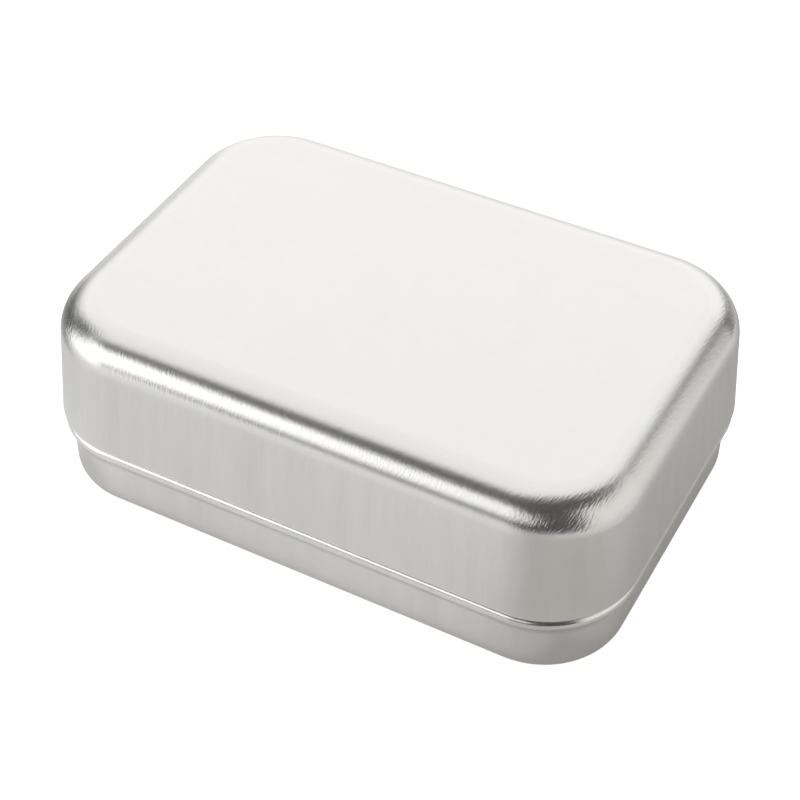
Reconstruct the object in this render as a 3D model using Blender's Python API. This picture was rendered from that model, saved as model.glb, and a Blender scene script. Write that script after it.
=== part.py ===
"""A soap tin drawn from aluminium sheet: a tray with a stop bead, and a deep lid that slips over it.

Each shell is one section of sheet, true to its thickness, lofted round a rounded rectangle.
Metres, +Z up. The origin is on the table, under the middle of the closed tin.
"""

import math

import bmesh
import bpy

# Outline of the closed tin, over the lid's open edge
LENGTH = 0.0950
WIDTH = 0.0651
LID_EDGE_CORNER = 0.0143

# Sheet, and the room that the lid has over the base
SHEET = 0.00045
SLIP_CLEARANCE = 0.0003
SEAT_CLEARANCE = 0.0003

# Lid
LID_HEIGHT = 0.0206
LID_DRAFT = 3.5
LID_CROWN_RADIUS = 0.0060
LID_CROWN_CORNER = 0.0145
HEM_HEIGHT = 0.0020
HEM_INNER_ROUND = 0.00025

# Base
BASE_HEIGHT = 0.0195
BASE_EDGE_RADIUS = 0.0030
BEAD_HEIGHT = 0.0110
BEAD_DEPTH = 0.0010
BEAD_RADIUS = 0.0011
BEAD_LOWER_BLEND = 0.0028
BEAD_UPPER_BLEND = 0.0008
CURL_RADIUS = 0.0009
CURL_SWEEP = 270.0

# Facets
CORNER_STEPS = 12
CROWN_STEPS = 9
EDGE_STEPS = 7
BEAD_STEPS = 9
BLEND_STEPS = 4
CURL_STEPS = 10
HEM_STEPS = 4
SMOOTH_ANGLE = 35.0

# Directions of a section point from its arc's centre, in degrees
OUTWARD = 0.0
UP = 90.0
INWARD = 180.0
DOWN = -90.0

# The hem is two sheets thick and rounder outside than inside, and the base wall stands inside it
HEM_THICKNESS = 2 * SHEET
HEM_ROUND = HEM_THICKNESS - HEM_INNER_ROUND
BASE_INSET = HEM_THICKNESS + SLIP_CLEARANCE


def clear_scene():
    for old in list(bpy.data.objects):
        bpy.data.objects.remove(old, do_unlink=True)


def make_material(name, colour, roughness):
    material = bpy.data.materials.new(name)
    material.use_nodes = True
    shader = material.node_tree.nodes["Principled BSDF"]
    shader.inputs["Base Color"].default_value = (*colour, 1.0)
    shader.inputs["Roughness"].default_value = roughness
    shader.inputs["Metallic"].default_value = 1.0
    return material


def arc(centre, radius, start, end, steps):
    """Points of an arc in the section: (inset from the tin's outline, height)."""
    points = []
    for step in range(steps + 1):
        angle = math.radians(start + (end - start) * step / steps)
        inset = centre[0] - radius * math.cos(angle)
        height = centre[1] + radius * math.sin(angle)
        points.append((inset, height))
    return points


def rounded_outline(inset, height, corner):
    """A rounded rectangle, inset from the tin's outline, anticlockwise seen from above."""
    middle_x = LENGTH / 2 - inset - corner
    middle_y = WIDTH / 2 - inset - corner
    quarters = ((1, 1), (-1, 1), (-1, -1), (1, -1))
    points = []
    for quarter, (side_x, side_y) in enumerate(quarters):
        for step in range(CORNER_STEPS + 1):
            angle = math.radians(90 * (quarter + step / CORNER_STEPS))
            x = side_x * middle_x + corner * math.cos(angle)
            y = side_y * middle_y + corner * math.sin(angle)
            points.append((x, y, height))
    return points


def loft_shell(name, section, corner_at, material):
    """Loft a sheet section round the outline and close both ends with flat panels."""
    bm = bmesh.new()
    rings = []
    for inset, height in section:
        outline = rounded_outline(inset, height, corner_at(inset, height))
        rings.append([bm.verts.new(point) for point in outline])
    for ring, following in zip(rings, rings[1:]):
        for index, vertex in enumerate(ring):
            beside = (index + 1) % len(ring)
            bm.faces.new((vertex, ring[beside], following[beside], following[index]))
    bm.faces.new(rings[0])
    bm.faces.new(rings[-1])
    bmesh.ops.recalc_face_normals(bm, faces=bm.faces)
    mesh = bpy.data.meshes.new(name)
    bm.to_mesh(mesh)
    bm.free()
    mesh.shade_smooth()
    mesh.set_sharp_from_angle(angle=math.radians(SMOOTH_ANGLE))
    mesh.materials.append(material)
    shell = bpy.data.objects.new(name, mesh)
    bpy.context.scene.collection.objects.link(shell)
    return shell


def lid_section():
    """From the top panel, down the outside, round the hem and up the inside."""
    slope = math.tan(math.radians(LID_DRAFT))
    along = math.cos(math.radians(LID_DRAFT))

    def wall_inset(height, thickness):
        return (height - HEM_ROUND) * slope + HEM_ROUND + (thickness - HEM_ROUND) / along

    crown_height = LID_HEIGHT - LID_CROWN_RADIUS
    crown_centre = (wall_inset(crown_height, LID_CROWN_RADIUS), crown_height)
    outside = arc(crown_centre, LID_CROWN_RADIUS, UP, LID_DRAFT, CROWN_STEPS)
    hem = arc((HEM_ROUND, HEM_ROUND), HEM_ROUND, LID_DRAFT, DOWN, HEM_STEPS)
    turn_up = arc((HEM_ROUND, HEM_INNER_ROUND), HEM_INNER_ROUND, DOWN, -INWARD, HEM_STEPS)
    fold = [(HEM_THICKNESS, HEM_HEIGHT), (wall_inset(HEM_HEIGHT, SHEET), HEM_HEIGHT)]
    inside = arc(crown_centre, LID_CROWN_RADIUS - SHEET, LID_DRAFT, UP, CROWN_STEPS)
    return outside + hem + turn_up[1:] + fold + inside


def lid_corner(inset, height):
    """Corner radius of the lid: its own at the open edge and at the crown, and an offset of it inwards."""
    wall_top = LID_HEIGHT - LID_CROWN_RADIUS
    wall_top_inset = wall_top * math.tan(math.radians(LID_DRAFT))
    climb = min(height / wall_top, 1.0)
    outer = LID_EDGE_CORNER + climb * (LID_CROWN_CORNER + wall_top_inset - LID_EDGE_CORNER)
    return outer - inset


def bead_turn(blend):
    """How far the bead's round turns before it runs into a blend of this radius, in degrees."""
    return math.degrees(math.acos(1 - BEAD_DEPTH / (BEAD_RADIUS + blend)))


def bead_reach(blend):
    """Height from the bead's crest to the end of a blend of this radius."""
    return (BEAD_RADIUS + blend) * math.sin(math.radians(bead_turn(blend)))


def bead_section(depth):
    """The stop bead from below, on the outer face or, one sheet deep, on the inner face.

    It swells slowly from the wall and falls back short above, where the lid's edge comes to rest.
    """
    lower_turn = bead_turn(BEAD_LOWER_BLEND)
    upper_turn = bead_turn(BEAD_UPPER_BLEND)
    below = (BASE_INSET - BEAD_LOWER_BLEND, BEAD_HEIGHT - bead_reach(BEAD_LOWER_BLEND))
    above = (BASE_INSET - BEAD_UPPER_BLEND, BEAD_HEIGHT + bead_reach(BEAD_UPPER_BLEND))
    crest = (BASE_INSET - BEAD_DEPTH + BEAD_RADIUS, BEAD_HEIGHT)
    rise = arc(below, BEAD_LOWER_BLEND + depth, INWARD, INWARD - lower_turn, BLEND_STEPS)
    swell = arc(crest, BEAD_RADIUS - depth, -lower_turn, upper_turn, BEAD_STEPS)
    fall = arc(above, BEAD_UPPER_BLEND + depth, INWARD + upper_turn, INWARD, BLEND_STEPS)
    return rise[:-1] + swell + fall[1:]


def base_section():
    """From the underside, up the outside, round the rim's curl and down the inside."""
    edge_centre = (BASE_INSET + BASE_EDGE_RADIUS, BASE_EDGE_RADIUS)
    curl_centre = (BASE_INSET + CURL_RADIUS, BASE_HEIGHT - CURL_RADIUS)
    edge = arc(edge_centre, BASE_EDGE_RADIUS, DOWN, OUTWARD, EDGE_STEPS)
    curl = arc(curl_centre, CURL_RADIUS, OUTWARD, CURL_SWEEP, CURL_STEPS)
    curl_inside = arc(curl_centre, CURL_RADIUS - SHEET, CURL_SWEEP, OUTWARD, CURL_STEPS)
    bead_inside = bead_section(SHEET)[::-1]
    floor_edge = arc(edge_centre, BASE_EDGE_RADIUS - SHEET, OUTWARD, DOWN, EDGE_STEPS)
    return edge + bead_section(0.0) + curl + curl_inside + bead_inside + floor_edge


def base_corner(inset, height):
    """Corner radius of the base: the lid's open edge, offset inwards."""
    return LID_EDGE_CORNER - inset


def lid_seat():
    """Height of the lid's hem above the table, where it stops on the bead."""
    reach = HEM_ROUND + BEAD_RADIUS + SEAT_CLEARANCE
    across = (BASE_INSET - BEAD_DEPTH + BEAD_RADIUS) - HEM_ROUND
    return BEAD_HEIGHT + math.sqrt(reach ** 2 - across ** 2) - HEM_ROUND


def build_base():
    finish = make_material("base_aluminium", (0.76, 0.76, 0.75), 0.30)
    return loft_shell("base", base_section(), base_corner, finish)


def build_lid():
    finish = make_material("lid_aluminium", (0.80, 0.80, 0.79), 0.26)
    lid = loft_shell("lid", lid_section(), lid_corner, finish)
    lid.location.z = lid_seat()
    return lid


clear_scene()
build_base()
build_lid()
print(f"lid edge at {lid_seat() * 1000:.2f} mm, closed height {(lid_seat() + LID_HEIGHT) * 1000:.2f} mm")
print(f"bead turns {bead_turn(BEAD_UPPER_BLEND):.1f} degrees above its crest, and its lower end is at "
      f"{(BEAD_HEIGHT - bead_reach(BEAD_LOWER_BLEND)) * 1000:.2f} mm")
print(f"base wall {BASE_INSET * 1000:.2f} mm inside the lid's edge")
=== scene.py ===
# %% [markdown]
# A soap tin is two pieces of aluminium sheet, each drawn to shape in one stroke of a press: a tray,
# and a deep lid that slips over it. This script dresses the two solids of the tin. It keeps their
# sizes and gives them the fine surface of the real thing: smooth rounds, the hem of the lid, the
# stop bead and the rolled rim of the tray, and a satin finish that shows how the sheet was drawn.

# %% Load the frame
import math

import bmesh
import bpy
from mathutils import Matrix, Vector


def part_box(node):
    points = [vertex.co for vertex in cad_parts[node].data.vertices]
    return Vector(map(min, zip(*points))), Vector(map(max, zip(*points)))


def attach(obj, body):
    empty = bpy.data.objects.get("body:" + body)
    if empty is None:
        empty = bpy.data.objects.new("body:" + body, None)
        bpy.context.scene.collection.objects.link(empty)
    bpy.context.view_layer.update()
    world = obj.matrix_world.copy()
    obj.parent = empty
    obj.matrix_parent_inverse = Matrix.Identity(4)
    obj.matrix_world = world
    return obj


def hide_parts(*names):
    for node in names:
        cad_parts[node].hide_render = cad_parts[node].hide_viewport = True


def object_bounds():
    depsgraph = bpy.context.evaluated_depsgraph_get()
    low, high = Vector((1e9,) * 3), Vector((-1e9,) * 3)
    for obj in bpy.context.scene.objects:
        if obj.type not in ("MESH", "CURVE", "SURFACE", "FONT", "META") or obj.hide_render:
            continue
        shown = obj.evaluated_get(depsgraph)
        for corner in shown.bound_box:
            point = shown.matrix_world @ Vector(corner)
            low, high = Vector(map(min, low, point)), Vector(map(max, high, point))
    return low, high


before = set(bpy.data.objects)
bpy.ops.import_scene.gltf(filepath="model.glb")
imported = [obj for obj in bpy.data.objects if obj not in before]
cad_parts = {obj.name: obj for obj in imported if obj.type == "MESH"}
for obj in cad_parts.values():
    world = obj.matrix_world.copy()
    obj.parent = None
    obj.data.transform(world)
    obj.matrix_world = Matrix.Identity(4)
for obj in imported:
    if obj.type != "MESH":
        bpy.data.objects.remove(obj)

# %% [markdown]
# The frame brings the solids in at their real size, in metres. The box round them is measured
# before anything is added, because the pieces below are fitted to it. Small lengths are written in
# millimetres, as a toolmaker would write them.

MM = 0.001
solid_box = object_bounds()
tin_length = solid_box[1].x - solid_box[0].x
tin_width = solid_box[1].y - solid_box[0].y
tin_height = solid_box[1].z
print(f"tin {tin_length / MM:.1f} x {tin_width / MM:.1f} x {tin_height / MM:.1f} mm")

# %% [markdown]
# The camera comes first, because it decides how much of each surface shows. A product picture of a
# flat tin is taken from above one corner with a long lens, so that the top, the front and one end
# all show and the edges stay nearly parallel. The camera is placed by its direction from the middle
# of the tin, and it is turned by the angles of its own axis, which doesn't quite meet that middle.

# %% Camera
# Angles are in degrees, distances in metres, and the lens and the sensor in millimetres
CAMERA_DISTANCE = 0.2840
CAMERA_AZIMUTH = 27.77
CAMERA_ELEVATION = 42.19
AXIS_AZIMUTH = 27.76
AXIS_ELEVATION = 42.93
CAMERA_ROLL = 0.51
CAMERA_LENS = 82.8
CAMERA_SENSOR = 36.0
NEAREST_SEEN = 0.01


def direction(azimuth, elevation):
    """A direction: azimuth from the front (-Y) towards +X, elevation above level, in degrees."""
    turn = math.radians(azimuth)
    rise = math.radians(elevation)
    level = math.cos(rise)
    return Vector((math.sin(turn) * level, -math.cos(turn) * level, math.sin(rise)))


def make_camera():
    data = bpy.data.cameras.new("camera")
    data.lens = CAMERA_LENS
    data.sensor_width = CAMERA_SENSOR
    data.clip_start = NEAREST_SEEN
    camera = bpy.data.objects.new("camera", data)
    bpy.context.scene.collection.objects.link(camera)
    middle = Vector((0, 0, tin_height / 2))
    place = middle + CAMERA_DISTANCE * direction(CAMERA_AZIMUTH, CAMERA_ELEVATION)
    aim = direction(AXIS_AZIMUTH, AXIS_ELEVATION).to_track_quat("Z", "Y").to_matrix().to_4x4()
    roll = Matrix.Rotation(math.radians(CAMERA_ROLL), 4, "Z")
    camera.matrix_world = Matrix.Translation(place) @ aim @ roll
    bpy.context.scene.camera = camera
    return camera


camera = make_camera()
print(f"camera at {[round(c / MM) for c in camera.matrix_world.translation]} mm")

# %% [markdown]
# Bare metal has almost no colour of its own: what it shows is the room. So the room is built with
# care, as a photographer builds it, from white cards on a dark ground. It could be made of lamps,
# but a lamp's reflection has a hard outline. Here the world's shader paints the cards by direction
# instead, each with a soft edge. These helpers join shader nodes with one line for each node.

# %% Node helpers
def add_node(tree, kind, settings=None, **inputs):
    """Adds a node, sets its properties, and gives its inputs a value or a link.

    An input is named by its own name, or by its number, as i0, where names repeat.
    """
    node = tree.nodes.new(kind)
    for name, value in (settings or {}).items():
        setattr(node, name, value)
    for key, value in inputs.items():
        number = key[1:]
        socket = node.inputs[int(number) if number.isdigit() else key.replace("_", " ")]
        if isinstance(value, bpy.types.NodeSocket):
            tree.links.new(value, socket)
        else:
            socket.default_value = value
    return node


def maths(tree, operation, *values):
    inputs = {f"i{place}": value for place, value in enumerate(values)}
    return add_node(tree, "ShaderNodeMath", {"operation": operation}, **inputs).outputs[0]


def smooth_range(tree, value, low, high, to_low=0.0, to_high=1.0):
    """A smooth ramp that is to_low at low and to_high at high, and stays so beyond them."""
    settings = {"interpolation_type": "SMOOTHSTEP"}
    inputs = {"i0": value, "i1": low, "i2": high, "i3": to_low, "i4": to_high}
    return add_node(tree, "ShaderNodeMapRange", settings, **inputs).outputs[0]


def mix_colours(tree, factor, first, second):
    settings = {"data_type": "RGBA"}
    node = add_node(tree, "ShaderNodeMix", settings, i0=factor, i6=first, i7=second)
    return node.outputs[2]


def scale_colour(tree, colour, factor):
    settings = {"operation": "SCALE"}
    return add_node(tree, "ShaderNodeVectorMath", settings, i0=colour, Scale=factor).outputs[0]


def grey(level, warmth=0.0):
    """A colour of one brightness, a little warmer where warmth is above 0."""
    return (level * (1 + warmth / 2), level, level * (1 - warmth), 1.0)


# %% [markdown]
# A card is an oblong patch of the world, given by the direction of its middle and by how far it
# reaches to either side. Its edges are soft ramps, as the edge of a lit sheet of paper is. A round
# card is simpler: it needs only the angle between the ray and its middle, and so it may reach over
# the zenith, where an oblong one would pinch.

# %% Cards
def add_card(tree, behind, azimuth, elevation, half_width, half_height, edge, colour):
    """A soft-edged oblong card in front of the colour behind. Angles are in degrees."""
    ray = add_node(tree, "ShaderNodeTexCoord").outputs["Generated"]
    settings = {"rotation_type": "Z_AXIS"}
    turn = -math.radians(azimuth)
    turned = add_node(tree, "ShaderNodeVectorRotate", settings, Vector=ray, Angle=turn)
    parts = add_node(tree, "ShaderNodeSeparateXYZ", i0=turned.outputs[0])
    ahead = maths(tree, "MULTIPLY", parts.outputs[1], -1.0)
    aside = maths(tree, "ABSOLUTE", maths(tree, "ARCTAN2", parts.outputs[0], ahead))
    rise = maths(tree, "ARCSINE", parts.outputs[2])
    above = maths(tree, "ABSOLUTE", maths(tree, "SUBTRACT", rise, math.radians(elevation)))
    limits = [math.radians(half_width + edge), math.radians(half_width - edge)]
    across = smooth_range(tree, aside, *limits)
    limits = [math.radians(half_height + edge), math.radians(half_height - edge)]
    upright = smooth_range(tree, above, *limits)
    return mix_colours(tree, maths(tree, "MULTIPLY", across, upright), behind, colour)


def add_round_card(tree, behind, azimuth, elevation, half_angle, edge, colour):
    """A soft-edged round card in front of the colour behind. Angles are in degrees."""
    ray = add_node(tree, "ShaderNodeTexCoord").outputs["Generated"]
    aim = tuple(direction(azimuth, elevation))
    dot = add_node(tree, "ShaderNodeVectorMath", {"operation": "DOT_PRODUCT"}, i0=ray, i1=aim)
    rim = math.cos(math.radians(half_angle + edge))
    full = math.cos(math.radians(half_angle - edge))
    mask = smooth_range(tree, dot.outputs["Value"], rim, full)
    return mix_colours(tree, mask, behind, colour)


# %% [markdown]
# The room, as the metal shows it. A great round soft box over the back left whitens the top panel,
# and is a little dimmer towards the zenith. A bright card on the front left, dimmer at its inner
# end, draws the white band along the front crown. A warmer and duller one on the right does the
# same for the right end, a narrow one in front lights the near corner, and a grey one stands low at
# the back. Dark flags, the two gaps and those at the back left and back right, cut the lights
# short: a dark line along a crown is the dark between two cards. Camera rays see a white backdrop.

# %% World
# A card's azimuth, elevation, half width, half height and soft edge, then its brightness and, if
# it has one, its warmth. Each card lies in front of those before it.
CARDS = {
    "left": (-44.0, 14.5, 38.5, 24.0, 1.2, 1.40),
    "left end": (-14.5, 14.5, 9.0, 24.0, 1.2, 1.08),
    "right": (102.0, 11.0, 38.0, 30.0, 4.5, 0.775, 0.03),
    "front": (6.0, 21.5, 7.0, 11.5, 1.5, 0.94),
    "left gap": (-81.0, 28.5, 16.0, 16.5, 13.5, 0.04),
    "front gap": (1.5, 1.5, 34.0, 6.5, 7.0, 0.03),
    "back": (180.0, 0.0, 28.5, 3.0, 16.0, 0.67),
    "back left": (-107.0, 2.5, 19.5, 13.5, 16.0, 0.03),
    "back right": (122.0, 38.0, 32.5, 2.0, 16.0, 0.25),
}
# The soft box: azimuth, elevation, half angle and soft edge
SOFT_BOX = (216.5, 41.5, 55.5, 6.5)
SOFT_BOX_LOW = grey(1.04)
SOFT_BOX_HIGH = grey(0.915)
DARK_ROOM = grey(0.066, 0.03)
GROUND = grey(0.31)
BACKDROP = grey(1.0)
# Heights of a ray's direction, from -1 straight down to 1 straight up, between which tones change
GROUND_FADE = (-0.44, -0.52)
SOFT_BOX_FADE = (0.52, 0.80)


def make_world():
    world = bpy.data.worlds.new("studio")
    world.use_nodes = True
    tree = world.node_tree
    tree.nodes.clear()
    ray = add_node(tree, "ShaderNodeTexCoord").outputs["Generated"]
    height = add_node(tree, "ShaderNodeSeparateXYZ", i0=ray).outputs[2]
    paths = add_node(tree, "ShaderNodeLightPath").outputs
    below = smooth_range(tree, height, *GROUND_FADE)
    mirrored_ground = maths(tree, "MULTIPLY", below, paths["Is Glossy Ray"])
    room = mix_colours(tree, mirrored_ground, DARK_ROOM, GROUND)
    high = smooth_range(tree, height, *SOFT_BOX_FADE)
    soft_box_tone = mix_colours(tree, high, SOFT_BOX_LOW, SOFT_BOX_HIGH)
    room = add_round_card(tree, room, *SOFT_BOX, soft_box_tone)
    for card in CARDS.values():
        room = add_card(tree, room, *card[:5], grey(*card[5:]))
    backdrop = maths(tree, "MAXIMUM", paths["Is Camera Ray"], paths["Is Transmission Ray"])
    seen = mix_colours(tree, backdrop, room, BACKDROP)
    light = add_node(tree, "ShaderNodeBackground", Color=seen, Strength=1.0)
    add_node(tree, "ShaderNodeOutputWorld", Surface=light.outputs[0])
    bpy.context.scene.world = world


bpy.context.scene.view_settings.view_transform = "Standard"
make_world()
print(f"world: a soft box and {len(CARDS)} cards")

# %% [markdown]
# The floor is a wide pale disc. The walls of the tin mirror it, and what they show is not all
# alike, so the tin's shade is painted into the floor's tone, as if the light came from the back
# left: the floor is palest out in front, dimmer in painted shade towards the right, darkest in a
# painted shadow right beside the right end and pale again beyond it, dull in a painted shadow near
# the front right corner, dark far out on the left, and shaded close under the metal by a painted
# contact shade. An even floor would leave the walls flat, so its tone is worked out from the place
# on it.

# %% Floor tone, with painted shadow and shade
# Tones of the floor as the metal mirrors it: the right, beside and corner tones are painted shadow
# of the tin
FLOOR_FRONT = grey(0.72)
FLOOR_RIGHT_SHADE = grey(0.50, 0.03)
FLOOR_SHADOW_BESIDE = grey(0.26, 0.03)
FLOOR_BEYOND = grey(0.62, 0.01)
FLOOR_CORNER_SHADOW = grey(0.48, 0.05)
FLOOR_LEFT = grey(0.25)
CORNER_SHADOW_PLACE = (0.062, -0.046, 0.0)
# Where each tone begins and where it is full, in metres: by X, by distance from the middle of
# the corner's painted shadow, and by Y
RIGHT_SHADE_FADE = (0.010, 0.075)
SHADOW_BESIDE_FADE = (0.070, 0.046)
BEYOND_FADE = (0.078, 0.105)
LEFT_FADE = (-0.075, -0.108)
CORNER_SHADOW_FADE = (0.040, 0.008)
LEFT_FRONT_FADE = (-0.055, -0.035)
LEFT_BACK_FADE = (0.050, 0.015)
# Two gaps to the tin, in metres, and the share of its tone that the floor has at each: a painted
# contact shade under the metal, a slightly brighter band close by, and painted shade near the tin
# that clears further out
CONTACT_SHADE = (0.0005, 0.002, 0.8, 1.0)
NEAR_LIFT_SHARE = (0.008, 0.014, 1.07, 1.0)
FAR_UNSHADED_SHARE = (0.030, 0.070, 1.0, 1.17)


def gap_to_tin(tree, parts):
    """How far a place on the floor is from the tin's box, where parts are its X, Y and Z."""
    past_end = maths(tree, "SUBTRACT", maths(tree, "ABSOLUTE", parts[0]), tin_length / 2)
    past_side = maths(tree, "SUBTRACT", maths(tree, "ABSOLUTE", parts[1]), tin_width / 2)
    clear = [maths(tree, "MAXIMUM", past, 0.0) for past in (past_end, past_side)]
    squares = [maths(tree, "MULTIPLY", part, part) for part in clear]
    return maths(tree, "SQRT", maths(tree, "ADD", *squares))


def shadowed_floor_tone(tree):
    """The floor's tone from place to place, with the tin's shadow and shade painted in, as the
    metal mirrors it.
    """
    place = add_node(tree, "ShaderNodeTexCoord").outputs["Object"]
    parts = add_node(tree, "ShaderNodeSeparateXYZ", i0=place).outputs
    gap = gap_to_tin(tree, parts)

    # The tin's painted shadow: dimmer to the right, darkest right beside the right end, paler
    # beyond it
    right = smooth_range(tree, parts[0], *SHADOW_BESIDE_FADE)
    right = mix_colours(tree, right, FLOOR_RIGHT_SHADE, FLOOR_SHADOW_BESIDE)
    right = mix_colours(tree, smooth_range(tree, parts[0], *BEYOND_FADE), right, FLOOR_BEYOND)
    tone = mix_colours(tree, smooth_range(tree, parts[0], *RIGHT_SHADE_FADE), FLOOR_FRONT, right)
    # A painted shadow round a place off the front right corner
    settings = {"operation": "DISTANCE"}
    apart = add_node(tree, "ShaderNodeVectorMath", settings, i0=place, i1=CORNER_SHADOW_PLACE)
    corner = smooth_range(tree, apart.outputs["Value"], *CORNER_SHADOW_FADE)
    tone = mix_colours(tree, corner, tone, FLOOR_CORNER_SHADOW)
    left = smooth_range(tree, parts[0], *LEFT_FADE)
    left = maths(tree, "MULTIPLY", left, smooth_range(tree, parts[1], *LEFT_FRONT_FADE))
    left = maths(tree, "MULTIPLY", left, smooth_range(tree, parts[1], *LEFT_BACK_FADE))
    tone = mix_colours(tree, left, tone, FLOOR_LEFT)

    # Painted contact shade under the metal, a slight lift close by, and painted shade that clears
    # further out
    contact = smooth_range(tree, gap, *CONTACT_SHADE)
    near = smooth_range(tree, gap, *NEAR_LIFT_SHARE)
    far = smooth_range(tree, gap, *FAR_UNSHADED_SHARE)
    level = maths(tree, "MULTIPLY", maths(tree, "MULTIPLY", contact, near), far)
    return scale_colour(tree, tone, level)


# %% [markdown]
# Three shaders share the floor's work. A matt one takes the light and the tin's shadow, a glow that
# only the camera sees makes the floor almost white, and a glow that only mirrors see shows the
# metal the tone from above, with its painted shadow and shade. More light on the floor could whiten
# it too, but it would bleach the tin as well. The disc lies a hair under the tin, so that it
# doesn't share a plane with the underside, and it is clear from below, so that the underside can be
# looked at.

# %% Floor
FLOOR_RADIUS = 0.21
FLOOR_SIDES = 96
FLOOR_DROP = 0.02 * MM
FLOOR_SEEN = grey(0.78)
LIT_SHARE = 0.55
CAMERA_GLOW = 0.80
MIRROR_GLOW = 0.60


def pale_floor():
    material = bpy.data.materials.new("pale_floor")
    material.use_nodes = True
    tree = material.node_tree
    tree.nodes.clear()
    tone = shadowed_floor_tone(tree)
    paths = add_node(tree, "ShaderNodeLightPath").outputs
    backdrop = maths(tree, "MAXIMUM", paths["Is Camera Ray"], paths["Is Transmission Ray"])
    lit_tone = scale_colour(tree, tone, LIT_SHARE)
    lit_tone = mix_colours(tree, backdrop, lit_tone, FLOOR_SEEN)
    lit = add_node(tree, "ShaderNodeBsdfDiffuse", Color=lit_tone).outputs[0]
    glow = maths(tree, "MULTIPLY", backdrop, CAMERA_GLOW)
    pale = add_node(tree, "ShaderNodeEmission", Color=grey(1.0), Strength=glow).outputs[0]
    # A glow that only mirrors see, in the floor's tone with its painted shadow and shade
    glow = maths(tree, "MULTIPLY", paths["Is Glossy Ray"], MIRROR_GLOW)
    mirrored = add_node(tree, "ShaderNodeEmission", Color=tone, Strength=glow).outputs[0]
    glowing = add_node(tree, "ShaderNodeAddShader", i0=pale, i1=mirrored).outputs[0]
    whole = add_node(tree, "ShaderNodeAddShader", i0=lit, i1=glowing).outputs[0]
    from_below = add_node(tree, "ShaderNodeNewGeometry").outputs["Backfacing"]
    clear = add_node(tree, "ShaderNodeBsdfTransparent").outputs[0]
    one_sided = add_node(tree, "ShaderNodeMixShader", i0=from_below, i1=whole, i2=clear).outputs[0]
    add_node(tree, "ShaderNodeOutputMaterial", Surface=one_sided)
    return material


def make_floor():
    bm = bmesh.new()
    bmesh.ops.create_circle(bm, cap_ends=True, radius=FLOOR_RADIUS, segments=FLOOR_SIDES)
    bmesh.ops.translate(bm, vec=(0, 0, -FLOOR_DROP), verts=bm.verts)
    mesh = bpy.data.meshes.new("floor")
    bm.to_mesh(mesh)
    bm.free()
    mesh.materials.append(pale_floor())
    floor = bpy.data.objects.new("floor", mesh)
    bpy.context.scene.collection.objects.link(floor)


make_floor()
print(f"floor {2 * FLOOR_RADIUS / MM:.0f} mm across")

# %% [markdown]
# Both shells are one sheet, 0.45 mm thick, that runs round a rounded rectangle. A shell like this
# could be a box with bevelled edges and a Solidify modifier, but then the hem, the bead and the
# rolled rim would all be extra pieces. Instead each shell is drawn as a section, like the cut edge
# of the real sheet, and a ring of edges is laid at each point of the section. The first ring is a
# square whose four corners are bevelled to round arcs.

# %% The first ring
CORNER_STEPS = 28
SHEET = 0.45 * MM
SLIP_CLEARANCE = 0.3 * MM
EDGE_CORNER = 14.3 * MM


def first_ring(bm, inset, height, corner):
    """A level ring of vertices on the tin's outline, moved in by the inset, in order."""
    square = bmesh.ops.create_grid(bm, x_segments=1, y_segments=1, size=0.5)["verts"]
    sides = (tin_length - 2 * inset, tin_width - 2 * inset, 1.0)
    bmesh.ops.scale(bm, vec=sides, verts=square)
    bmesh.ops.translate(bm, vec=(0, 0, height), verts=square)
    rounded = bmesh.ops.bevel(
        bm,
        geom=square,
        offset=corner,
        segments=CORNER_STEPS,
        profile=0.5,
        affect="VERTICES",
        material=-1,
    )
    face = rounded["verts"][0].link_faces[0]
    ring = [loop.vert for loop in face.loops]
    bmesh.ops.delete(bm, geom=[face], context="FACES_ONLY")
    return ring


def edge_between(start, end):
    return next(edge for edge in start.link_edges if edge.other_vert(start) is end)


def ring_edges(ring):
    following = ring[1:] + ring[:1]
    return [edge_between(start, end) for start, end in zip(ring, following)]


# %% [markdown]
# The skin grows from that ring as in the press: the ring is extruded, and the new ring is laid on
# the outline at the section's next point. Each vertex stays in its own quarter of the tin and keeps
# its direction from the middle of its corner's round, so only the inset, the height and the radius
# change. Rings that are laid first and bridged after can twist where two of them lie almost level,
# and that leaves stray faces across the opening.

# %% The next ring
def corner_middle(side, inset, height, corner):
    """Middle of the corner's round, in the quarter of the tin that side points into."""
    return Vector((
        side.x * (tin_length / 2 - inset - corner),
        side.y * (tin_width / 2 - inset - corner),
        height,
    ))


def corner_directions(ring, inset, height, corner):
    """For each vertex, its quarter of the tin and its direction from the corner's middle."""
    directions = []
    for vertex in ring:
        side = Vector((math.copysign(1, vertex.co.x), math.copysign(1, vertex.co.y)))
        away = (vertex.co - corner_middle(side, inset, height, corner)).normalized()
        directions.append((side, away))
    return directions


def next_ring(bm, ring, directions, inset, height, corner):
    """Extrudes a ring and lays the new ring on the outline at another inset and height."""
    extruded = bmesh.ops.extrude_edge_only(bm, edges=ring_edges(ring))["geom"]
    fresh = {part for part in extruded if isinstance(part, bmesh.types.BMVert)}
    grown = []
    for vertex in ring:
        ends = [edge.other_vert(vertex) for edge in vertex.link_edges]
        grown.append(next(end for end in ends if end in fresh))
    for vertex, (side, away) in zip(grown, directions):
        vertex.co = corner_middle(side, inset, height, corner) + away * corner
    return grown


# %% [markdown]
# The finish has to follow the metal, so each vertex keeps what the press did there. It could be
# worked out from the finished shape, but the flat sheet is simpler to know while the shell is being
# built: a point's depth is its way along the section from the flat panel, on either face, and its
# place in the flat sheet is that far out from the panel's edge.

# %% Marks of the press
# Depth where the metal was worked hardest, as a share of how far the round reaches in plan
HARDEST_WORKED = 0.8


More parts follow.
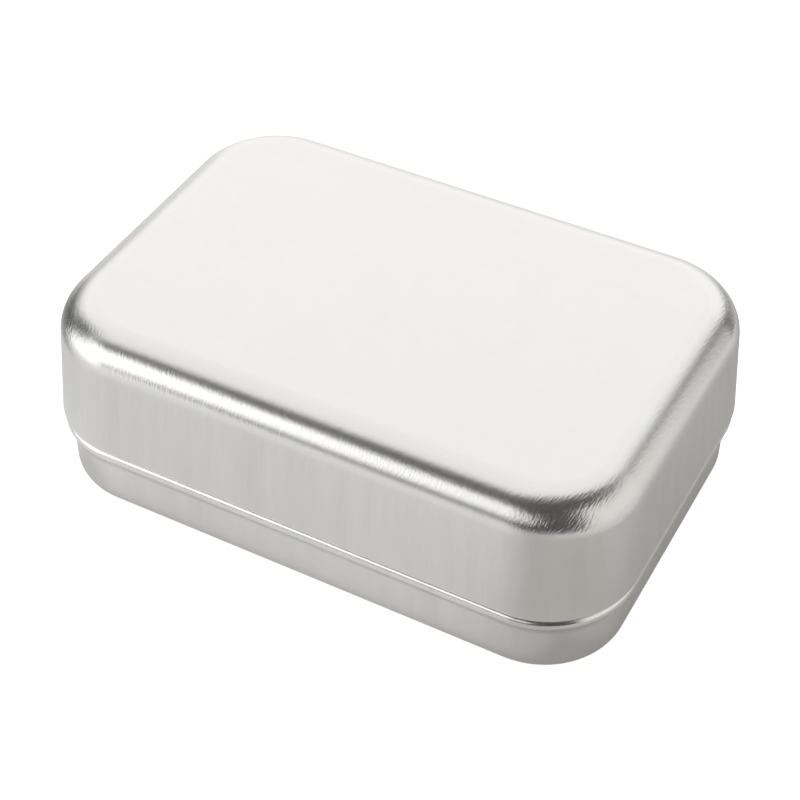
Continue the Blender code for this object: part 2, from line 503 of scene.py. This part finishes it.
def mark_metal(marks, section, rings, panels):
    """Keeps, at each vertex, what the press did to the metal there, for the finish to read.

    sheet is the place in the flat sheet before it was drawn. column is the foot of the line that
    the vertex was drawn along, with the depth of the draw. worked is 1 where a corner turns over
    its crown, where the metal was drawn hardest, and 0 on the panels and the straight walls.
    """
    sheet, column, worked = marks
    for panel in panels:
        for vertex in panel.verts:
            vertex[sheet] = vertex[column] = vertex.co.xy.to_3d()
    steps = [math.dist(*pair) for pair in zip(section, section[1:])]
    run = [sum(steps[:index]) for index in range(len(section))]
    widest = rings[min(range(len(section)), key=lambda index: section[index][0])]
    hardest = HARDEST_WORKED * math.dist(widest[0].co.xy, rings[0][0].co.xy)
    for ring, length in zip(rings, run):
        depth = min(length, run[-1] - length)
        crown = max(1 - abs(depth - hardest) / hardest, 0.0)
        for vertex, foot, rim in zip(ring, rings[0], widest):
            away = (rim.co.xy - foot.co.xy).normalized()
            vertex[sheet] = (foot.co.xy + away * depth).to_3d()
            vertex[column] = (foot.co.x, foot.co.y, depth)
            vertex[worked] = 2 * abs(away.x * away.y) * crown


# %% [markdown]
# A shell is then a loop over its section. Both ends of the skin are closed by a flat panel, the
# outer and the inner face of the sheet. Each panel is inset a little, so that its edge keeps a
# narrow band of its own and the smooth shading of the round doesn't creep across the flat.

# %% Shells
PANEL_INSET = 0.4 * MM
SHARP_ANGLE = 40


def loft(name, section, corner_at):
    """Draws a skin through each (inset, height) of the section and closes both ends."""
    bm = bmesh.new()
    marks = [bm.verts.layers.float_vector.new(mark) for mark in ("sheet", "column")]
    marks.append(bm.verts.layers.float.new("worked"))
    start = (*section[0], corner_at(*section[0]))
    rings = [first_ring(bm, *start)]
    directions = corner_directions(rings[0], *start)
    for point in section[1:]:
        rings.append(next_ring(bm, rings[-1], directions, *point, corner_at(*point)))
    panels = []
    for ring in (rings[0], rings[-1]):
        panel = bmesh.ops.edgeloop_fill(bm, edges=ring_edges(ring))["faces"]
        bmesh.ops.inset_individual(bm, faces=panel, thickness=PANEL_INSET)
        panels += panel
    bmesh.ops.recalc_face_normals(bm, faces=bm.faces)
    mark_metal(marks, section, rings, panels)
    print(f"{name}: {len(rings)} rings of {len(rings[0])} vertices, {len(bm.faces)} faces, "
          f"{bm.calc_volume() / MM ** 3:.0f} mm3 of metal")
    mesh = bpy.data.meshes.new(name)
    bm.to_mesh(mesh)
    bm.free()
    mesh.shade_smooth()
    mesh.set_sharp_from_angle(angle=math.radians(SHARP_ANGLE))
    piece = bpy.data.objects.new(name, mesh)
    bpy.context.scene.collection.objects.link(piece)
    return piece


# %% [markdown]
# A point of a section is an inset from the tin's outline and a height. Every bend is an arc, as
# the round of a tool is, and the straight parts need no points between the arcs at their ends.

# %% Arcs of a section
# Directions from an arc's middle, in degrees
OUTWARD = 0
UP = 90
INWARD = 180
DOWN = -90


def arc(centre, radius, start, end, steps):
    """Points of an arc in the section, from one direction to another, in degrees."""
    points = []
    for step in range(steps + 1):
        angle = math.radians(start + (end - start) * step / steps)
        inset = centre[0] - radius * math.cos(angle)
        points.append((inset, centre[1] + radius * math.sin(angle)))
    return points


# %% [markdown]
# The lid. Its top panel turns down into the wall over a 6 mm crown, the wall leans 3.5 degrees so
# that the punch could leave it, and the open edge is folded in on itself as a flat hem, so that
# no raw edge can cut a hand. The section starts at the top panel, runs down the outside, round the
# fold and up the inside. The lid's heights are counted from its own open edge.

# %% Lid
LID_DRAFT = 3.5
CROWN_RADIUS = 6.0 * MM
CROWN_CORNER = 14.5 * MM
HEM_HEIGHT = 2.0 * MM
HEM_THICKNESS = 2 * SHEET
HEM_INNER_ROUND = 0.25 * MM
HEM_ROUND = HEM_THICKNESS - HEM_INNER_ROUND
# Steps of the arcs, on the outer and the inner face of the sheet
CROWN_STEPS = (28, 20)
HEM_STEPS = (16, 8)
lid_low, lid_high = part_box("lid")
lid_height = lid_high.z - lid_low.z
crown_start = lid_height - CROWN_RADIUS
print(f"lid {lid_height / MM:.2f} mm high, its edge {lid_low.z / MM:.2f} mm above the table")


def lid_wall_inset(height, thickness):
    """Inset of the leaning wall's outer face, or of a line that lies deeper in it."""
    lean = math.radians(LID_DRAFT)
    leaned = (height - HEM_ROUND) * math.tan(lean)
    return leaned + HEM_ROUND + (thickness - HEM_ROUND) / math.cos(lean)


def lid_section():
    """From the top panel, down the outside, round the hem and up the inside."""
    crown = (lid_wall_inset(crown_start, CROWN_RADIUS), crown_start)
    outside = arc(crown, CROWN_RADIUS, UP, LID_DRAFT, CROWN_STEPS[0])
    fold = arc((HEM_ROUND, HEM_ROUND), HEM_ROUND, LID_DRAFT, DOWN, HEM_STEPS[0])
    turn_up = (HEM_ROUND, HEM_INNER_ROUND)
    fold += arc(turn_up, HEM_INNER_ROUND, DOWN, -INWARD, HEM_STEPS[1])[1:]
    hem_top = [(HEM_THICKNESS, HEM_HEIGHT), (lid_wall_inset(HEM_HEIGHT, SHEET), HEM_HEIGHT)]
    inside = arc(crown, CROWN_RADIUS - SHEET, LID_DRAFT, UP, CROWN_STEPS[1])
    return [(inset, height + lid_low.z) for inset, height in outside + fold + hem_top + inside]


def lid_corner(inset, height):
    """The lid's corner is a little rounder over the crown than at its open edge."""
    climb = min((height - lid_low.z) / crown_start, 1.0)
    top_corner = CROWN_CORNER + crown_start * math.tan(math.radians(LID_DRAFT))
    return EDGE_CORNER + climb * (top_corner - EDGE_CORNER) - inset


lid_shell = loft("lid_shell", lid_section(), lid_corner)
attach(lid_shell, "lid")
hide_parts("lid")

# %% [markdown]
# The tray. Its wall stands straight. Halfway up, a bead is pressed outwards, and the lid's edge
# stops on it. Above the bead the wall is the neck that the lid slides over, and its rim is rolled
# inwards to an open curl, which stiffens it and hides the cut edge. The bead could be a separate
# ring, but a pressed bead shows on the inside too, so it is part of the section on both faces.

# %% Tray
WALL_INSET = HEM_THICKNESS + SLIP_CLEARANCE
BOTTOM_RADIUS = 3.0 * MM
BEAD_HEIGHT = 11.0 * MM
BEAD_DEPTH = 1.0 * MM
BEAD_RADIUS = 1.1 * MM
BEAD_LOWER_BLEND = 2.8 * MM
BEAD_UPPER_BLEND = 0.8 * MM
CURL_RADIUS = 0.9 * MM
CURL_TURN = 270
# Steps of the bead's arcs, then those of the others on the outer and the inner face of the sheet
BEAD_STEPS = 24
LOWER_BLEND_STEPS = 12
UPPER_BLEND_STEPS = 10
BOTTOM_STEPS = (20, 16)
CURL_STEPS = (30, 20)
base_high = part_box("base")[1]
print(f"tray {base_high.z / MM:.2f} mm high")


def bead_blend(radius):
    """How far the bead's round turns before a blend, in degrees, and the height of both."""
    turn = math.acos(1 - BEAD_DEPTH / (BEAD_RADIUS + radius))
    return math.degrees(turn), (BEAD_RADIUS + radius) * math.sin(turn)


def bead_section(depth):
    """The bead from below, on the outer face, or one sheet deep on the inner face."""
    lower_turn, drop = bead_blend(BEAD_LOWER_BLEND)
    upper_turn, climb = bead_blend(BEAD_UPPER_BLEND)
    below = (WALL_INSET - BEAD_LOWER_BLEND, BEAD_HEIGHT - drop)
    above = (WALL_INSET - BEAD_UPPER_BLEND, BEAD_HEIGHT + climb)
    crest = (WALL_INSET - BEAD_DEPTH + BEAD_RADIUS, BEAD_HEIGHT)
    lower, upper = BEAD_LOWER_BLEND + depth, BEAD_UPPER_BLEND + depth
    rise = arc(below, lower, INWARD, INWARD - lower_turn, LOWER_BLEND_STEPS)
    swell = arc(crest, BEAD_RADIUS - depth, -lower_turn, upper_turn, BEAD_STEPS)
    fall = arc(above, upper, INWARD + upper_turn, INWARD, UPPER_BLEND_STEPS)
    return rise[:-1] + swell + fall[1:]


def tray_section():
    """From the underside, up the outside, round the rim's curl and down the inside."""
    edge = (WALL_INSET + BOTTOM_RADIUS, BOTTOM_RADIUS)
    curl = (WALL_INSET + CURL_RADIUS, base_high.z - CURL_RADIUS)
    outside = arc(edge, BOTTOM_RADIUS, DOWN, OUTWARD, BOTTOM_STEPS[0]) + bead_section(0.0)
    rim = arc(curl, CURL_RADIUS, OUTWARD, CURL_TURN, CURL_STEPS[0])
    rim += arc(curl, CURL_RADIUS - SHEET, CURL_TURN, OUTWARD, CURL_STEPS[1])
    inside = bead_section(SHEET)[::-1]
    inside += arc(edge, BOTTOM_RADIUS - SHEET, OUTWARD, DOWN, BOTTOM_STEPS[1])
    return outside + rim + inside


def tray_corner(inset, height):
    """The tray's corner is an offset of the lid's edge, at every height."""
    return EDGE_CORNER - inset


tray_shell = loft("tray_shell", tray_section(), tray_corner)
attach(tray_shell, "base")
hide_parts("base")

# %% [markdown]
# Satin aluminium. The rolling mill leaves fine lines along the sheet, the etching bath gives it a
# matt grain, and the press adds marks of its own: lines down the walls where the metal slid past
# the die, and a skin like orange peel at the corners, where it was drawn hardest. A photograph of
# metal could be wrapped round the tin, but worked noise has no seams. Each layer that the press
# made reads the shell's own attributes, so that it follows the metal round every bend. The grain
# and the slow changes have no direction, so they read the plain place.

# %% Layers of the finish
# Size of a layer's patches in mm, and its stretch: below 1, they are longer that way
ROLLED_LINES = {"size": 0.26, "stretch": (1.0, 0.25, 1.0), "detail": 1.5, "roughness": 0.6}
SLID_LINES = {"size": 0.45, "stretch": (1.0, 1.0, 0.06)}
DRAWN_BANDS = {"size": 3.0, "stretch": (1.0, 1.0, 0.05), "detail": 1.0}
ORANGE_PEEL = {"size": 0.32, "stretch": (1.0, 0.30, 1.0), "detail": 1.0}
MATT_GRAIN = {"size": 0.28, "roughness": 0.6}
DAPPLE = {"size": 1.6, "detail": 3.0, "roughness": 0.6}
CLOUDS = {"size": 11.0}


def attribute(tree, name, output="Vector"):
    return add_node(tree, "ShaderNodeAttribute", {"attribute_name": name}).outputs[output]


def noise(tree, place, size, stretch=(1.0, 1.0, 1.0), detail=2.0, roughness=0.5, turn=0.0):
    """Noise from -0.5 to 0.5 whose patches are about the size given, in mm."""
    turned = (0.0, 0.0, turn)
    mapping = add_node(tree, "ShaderNodeMapping", i0=place, Rotation=turned, Scale=stretch)
    pattern = add_node(
        tree,
        "ShaderNodeTexNoise",
        Vector=mapping.outputs[0],
        Scale=1 / (size * MM),
        Detail=detail,
        Roughness=roughness,
    )
    return maths(tree, "SUBTRACT", pattern.outputs[0], 0.5)


def weighted_sum(tree, *terms):
    """The sum of the terms, each a layer and its weight, which may be a number or a layer."""
    total = 0.0
    for layer, weight in terms:
        total = maths(tree, "MULTIPLY_ADD", layer, weight, total)
    return total


# %% [markdown]
# Two marks are rarer than the rest. The etching bath leaves small pits, and the die irons them out
# of the walls, so that only the flat panel keeps them: a quarter of the cells of a Voronoi pattern
# have one. Use leaves a few scratches: long thin noise of which only the highest ridges are kept.

# %% Pits and scratches
PIT_CELL = 1.7
PIT_SHARE = 0.25
PIT_EDGE = (0.20, 0.04)
SCRATCH_LINES = {"size": 0.30, "stretch": (1.0, 0.04, 1.0), "detail": 0.0, "turn": 0.9}
SCRATCH_RIDGE = (0.27, 0.33)


def pits(tree, place):
    """Small round pits: 1 in the middle of a pit and 0 between them."""
    cells = add_node(tree, "ShaderNodeTexVoronoi", Vector=place, Scale=1 / (PIT_CELL * MM))
    colour = cells.outputs["Color"]
    cell_value = add_node(tree, "ShaderNodeSeparateColor", i0=colour).outputs[0]
    chosen = maths(tree, "LESS_THAN", cell_value, PIT_SHARE)
    round_pit = smooth_range(tree, cells.outputs["Distance"], *PIT_EDGE)
    return maths(tree, "MULTIPLY", round_pit, chosen)


def scratches(tree, place):
    """A few fine straight scratches, all at one angle."""
    return smooth_range(tree, noise(tree, place, **SCRATCH_LINES), *SCRATCH_RIDGE)


# %% [markdown]
# The finish puts the layers together. Lines, peel, grain and pits tilt the surface through a Bump
# node. Roughness changes only slowly from place to place, because fine changes of it would show as
# speckle and not as metal. Edges that rub against hands, bags and each other are burnished: along
# the hem, the bead and the rim the metal is smoother, and its colour is a little brighter there as
# a painted highlight, which lifts the bright lines along them. Which part of the section a point is
# on follows from its depth, so those bands are given as depths.

# %% Satin aluminium
# Lengths in mm
CROWN_FADE = 2.0
BAND_EDGE = 0.4


def rubbed_highlight_mask(tree, depth, bands):
    """1 on the bands that are rubbed and get a painted highlight, each given by its first and last
    depth, in mm.
    """
    rubbed_and_highlit = 0.0
    for first, last in bands:
        begun = smooth_range(tree, depth, (first - BAND_EDGE) * MM, (first + BAND_EDGE) * MM)
        ended = smooth_range(tree, depth, (last - BAND_EDGE) * MM, (last + BAND_EDGE) * MM)
        rubbed_and_highlit = maths(tree, "ADD", rubbed_and_highlit, maths(tree, "SUBTRACT", begun, ended))
    return rubbed_and_highlit


def make_satin(name, colour, roughness, crown_depth, rubbed_highlit_bands):
    """Finish of one shell, given how deep its crown ends and which bands are rubbed and brightened
    as a painted highlight, in mm.
    """
    material = bpy.data.materials.new(name)
    material.use_nodes = True
    tree = material.node_tree
    shader = tree.nodes["Principled BSDF"]
    shader.inputs["Metallic"].default_value = 1.0
    sheet = attribute(tree, "sheet")
    column = attribute(tree, "column")
    worked = attribute(tree, "worked", "Fac")
    place = add_node(tree, "ShaderNodeTexCoord").outputs["Object"]
    depth = add_node(tree, "ShaderNodeSeparateXYZ", i0=column).outputs[2]
    bent = smooth_range(tree, depth, 0.0, CROWN_FADE * MM)
    wall = smooth_range(tree, depth, (crown_depth - CROWN_FADE) * MM, crown_depth * MM)
    crown = maths(tree, "SUBTRACT", bent, wall)
    flat = maths(tree, "SUBTRACT", 1.0, bent)
    rubbed_and_highlit = rubbed_highlight_mask(tree, depth, rubbed_highlit_bands)

    rolled = noise(tree, sheet, **ROLLED_LINES)
    slid = noise(tree, column, **SLID_LINES)
    drawn = noise(tree, column, **DRAWN_BANDS)
    peel = noise(tree, sheet, **ORANGE_PEEL)
    grain = noise(tree, place, **MATT_GRAIN)
    dapple = noise(tree, place, **DAPPLE)
    clouds = noise(tree, place, **CLOUDS)
    strokes = maths(tree, "MULTIPLY", weighted_sum(tree, (slid, 0.6), (drawn, 1.0)), wall)
    pitted = maths(tree, "MULTIPLY", pits(tree, sheet), flat)

    # Heights are in mm, and rolled lines stand out most where the crown stretches them
    heights = weighted_sum(
        tree,
        (rolled, maths(tree, "MULTIPLY_ADD", crown, 0.016, 0.0012)),
        (peel, maths(tree, "MULTIPLY", worked, 0.070)),
        (strokes, 0.010),
        (grain, 0.001),
        (dapple, 0.003),
        (pitted, -0.004),
        (scratches(tree, sheet), -0.002),
    )
    bump = add_node(tree, "ShaderNodeBump", Height=heights, Strength=1.0, Distance=1.0 * MM)
    tree.links.new(bump.outputs[0], shader.inputs["Normal"])
    rough = weighted_sum(
        tree,
        (drawn, 0.02),
        (clouds, 0.02),
        (rubbed_and_highlit, -0.08),
    )
    rough = maths(tree, "ADD", rough, roughness)
    tree.links.new(rough, shader.inputs["Roughness"])
    # Colour: strokes, dapple and clouds, darker pits, and a painted highlight on the rubbed bands
    tone = weighted_sum(
        tree,
        (strokes, 0.12),
        (dapple, 0.030),
        (clouds, 0.030),
        (pitted, -0.025),
        (rubbed_and_highlit, 0.08),
    )
    tone = maths(tree, "ADD", tone, 0.99)
    tree.links.new(scale_colour(tree, colour, tone), shader.inputs["Base Color"])
    print(f"{name}: {len(tree.nodes)} nodes")
    return material


# %% [markdown]
# Each shell has its own numbers. The lid is handled most, so it is a little smoother and brighter
# than the tray, and the crown, the hem, the bead and the rim lie at depths of their own.

# %% The two finishes
lid_satin = make_satin(
    "lid_satin",
    colour=(0.90, 0.893, 0.875),
    roughness=0.258,
    crown_depth=9.1,
    rubbed_highlit_bands=[(23.5, 30.0)],
)
tray_satin = make_satin(
    "tray_satin",
    colour=(0.89, 0.883, 0.865),
    roughness=0.31,
    crown_depth=4.7,
    rubbed_highlit_bands=[(12.6, 14.6), (20.4, 30.0)],
)
lid_shell.data.materials.append(lid_satin)
tray_shell.data.materials.append(tray_satin)
